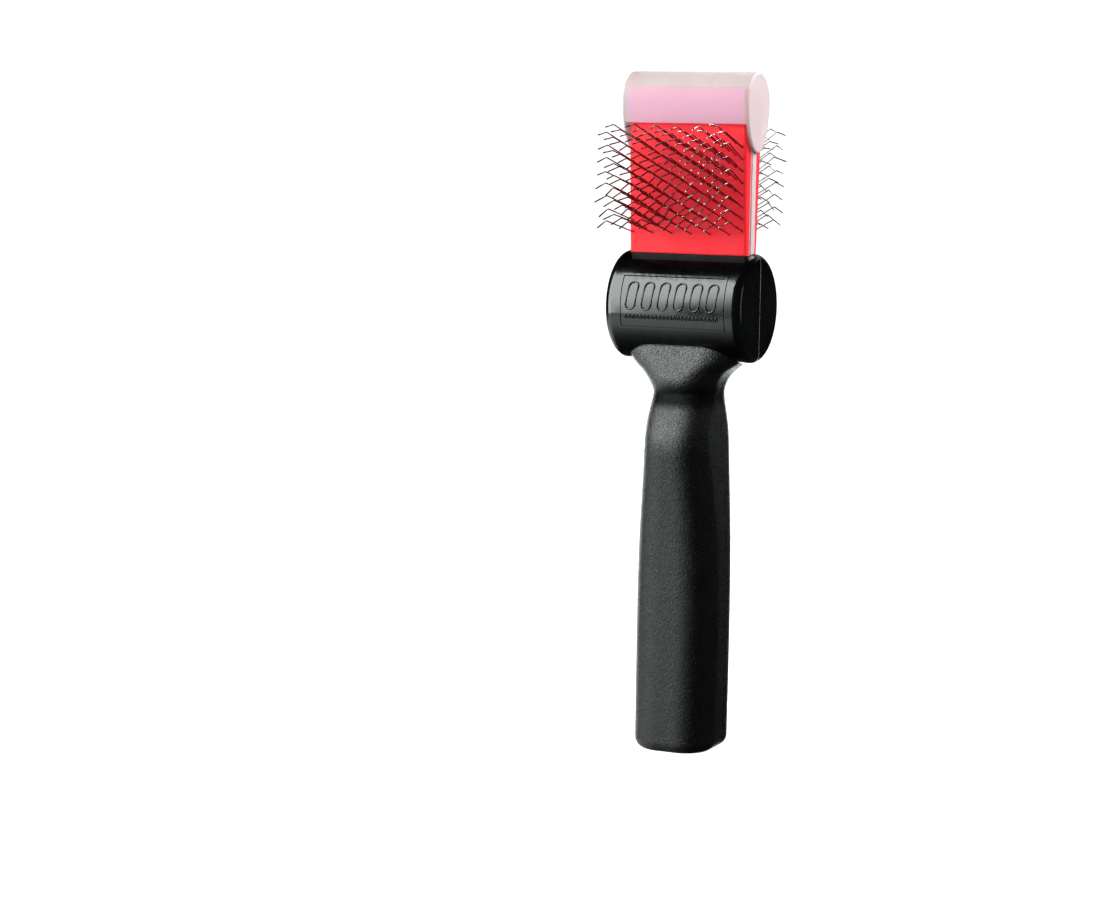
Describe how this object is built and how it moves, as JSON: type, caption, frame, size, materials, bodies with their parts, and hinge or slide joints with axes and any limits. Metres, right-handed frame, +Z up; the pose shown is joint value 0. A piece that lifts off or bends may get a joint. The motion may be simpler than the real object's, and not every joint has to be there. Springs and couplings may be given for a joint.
{
  "type": "dematting brush",
  "caption": "Double-sided dematting brush: a flexing paddle with bent wire pins on both faces, a milky end cap, a black drum and a moulded grip.",
  "frame": {"origin": "middle of the flat butt of the grip, under the drum's axis", "axes": "+Z up the grip to the drum and the paddle, X along the drum's axis, -Y the front with the moulded label frame"},
  "size_m": [0.0456, 0.0548, 0.2108],
  "materials": {
    "black_plastic": "gloss drum, fine-grained grip",
    "rocker_plastic": "satin moulded",
    "grey_plate": "satin sheet plastic",
    "red_cushion": "matt rubber foam",
    "backing_cloth": "woven cloth",
    "wire_steel": "drawn wire",
    "pin_steel": "ground",
    "dark_steel": "black oxide",
    "buffer_rubber": "soft cellular rubber",
    "milky_silicone": "translucent satin silicone"
  },
  "bodies": {
    "handle": {"handle_front_shell": "black_plastic", "handle_rear_shell": "black_plastic", "case_screws": "dark_steel", "front_return_buffer": "buffer_rubber", "rear_return_buffer": "buffer_rubber"},
    "paddle": {"paddle_plate": "grey_plate", "front_rocker_half": "rocker_plastic", "rear_rocker_half": "rocker_plastic", "rocker_screws": "dark_steel", "left_pivot_pin": "pin_steel", "right_pivot_pin": "pin_steel", "front_backing_sheet": "backing_cloth", "rear_backing_sheet": "backing_cloth", "front_cushion": "red_cushion", "rear_cushion": "red_cushion", "end_cap": "milky_silicone", "front_pin_row_1": "wire_steel", "front_pin_row_2": "wire_steel", "front_pin_row_3": "wire_steel", "front_pin_row_4": "wire_steel", "front_pin_row_5": "wire_steel", "front_pin_row_6": "wire_steel", "front_pin_row_7": "wire_steel", "front_pin_row_8": "wire_steel", "rear_pin_row_1": "wire_steel", "rear_pin_row_2": "wire_steel", "rear_pin_row_3": "wire_steel", "rear_pin_row_4": "wire_steel", "rear_pin_row_5": "wire_steel", "rear_pin_row_6": "wire_steel", "rear_pin_row_7": "wire_steel", "rear_pin_row_8": "wire_steel"}
  },
  "joints": [
    {"name": "paddle_flex", "type": "hinge", "parent": "handle", "child": "paddle", "pos_m": [0, 0, 0.1385], "axis": [1, 0, 0], "range_deg": [-15, 15], "stiffness_Nm_per_rad": 0.9, "deforming": ["front_return_buffer", "rear_return_buffer"]}
  ]
}
